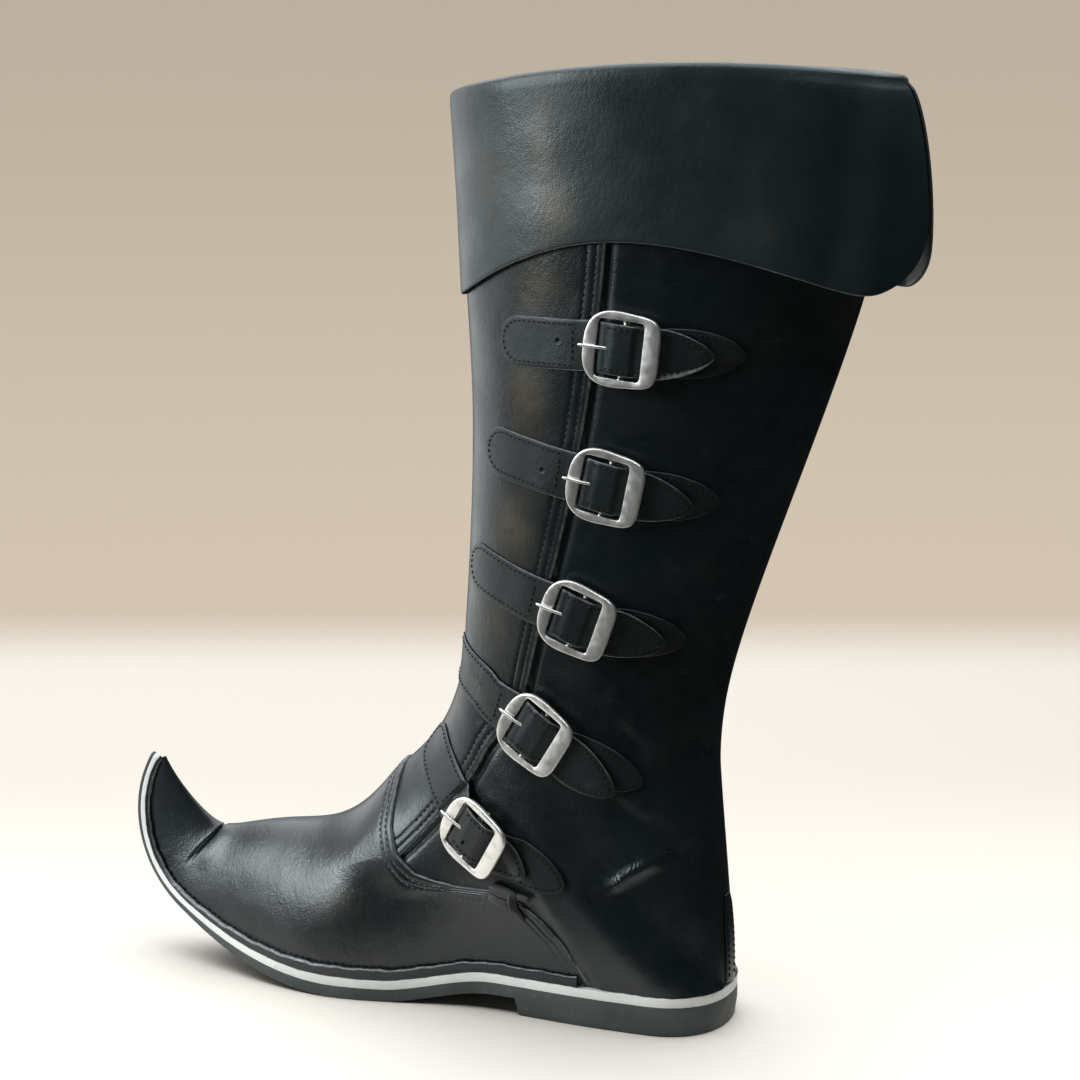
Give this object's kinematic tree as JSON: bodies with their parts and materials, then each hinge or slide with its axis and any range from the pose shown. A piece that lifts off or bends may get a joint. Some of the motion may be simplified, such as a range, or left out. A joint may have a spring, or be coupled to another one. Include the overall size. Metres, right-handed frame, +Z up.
{
  "type": "medieval boot",
  "caption": "Tall black leather boot for the left foot with a curled toe, folded cuff, side straps with buckles, and a black and white layered sole",
  "frame": {"origin": "on the floor under the middle of the boot's bounding box", "axes": "toe towards -X, buckled outer side towards -Y, shaft up along +Z"},
  "size_m": [0.4345, 0.1219, 0.4793],
  "materials": {
    "upper_leather": "satin",
    "strap_leather": "satin",
    "thong": "matte",
    "insole_leather": "matte",
    "rubber": "matte",
    "white_layer": "matte",
    "buckle_metal": "satin"
  },
  "bodies": {
    "root": {"outsole": "rubber", "heel": "rubber", "midsole": "white_layer", "welt": "upper_leather", "insole": "insole_leather", "upper": "upper_leather", "cuff": "upper_leather", "back_stay": "upper_leather", "side_knot": "thong", "strap_1": "strap_leather", "strap_2": "strap_leather", "strap_3": "strap_leather", "strap_4": "strap_leather", "strap_5": "strap_leather", "tab_1": "strap_leather", "tab_2": "strap_leather", "tab_3": "strap_leather", "tab_4": "strap_leather", "tab_5": "strap_leather", "buckle_1": "buckle_metal", "buckle_2": "buckle_metal", "buckle_3": "buckle_metal", "buckle_4": "buckle_metal", "buckle_5": "buckle_metal", "prong_1": "buckle_metal", "prong_2": "buckle_metal", "prong_3": "buckle_metal", "prong_4": "buckle_metal", "prong_5": "buckle_metal"}
  },
  "joints": []
}
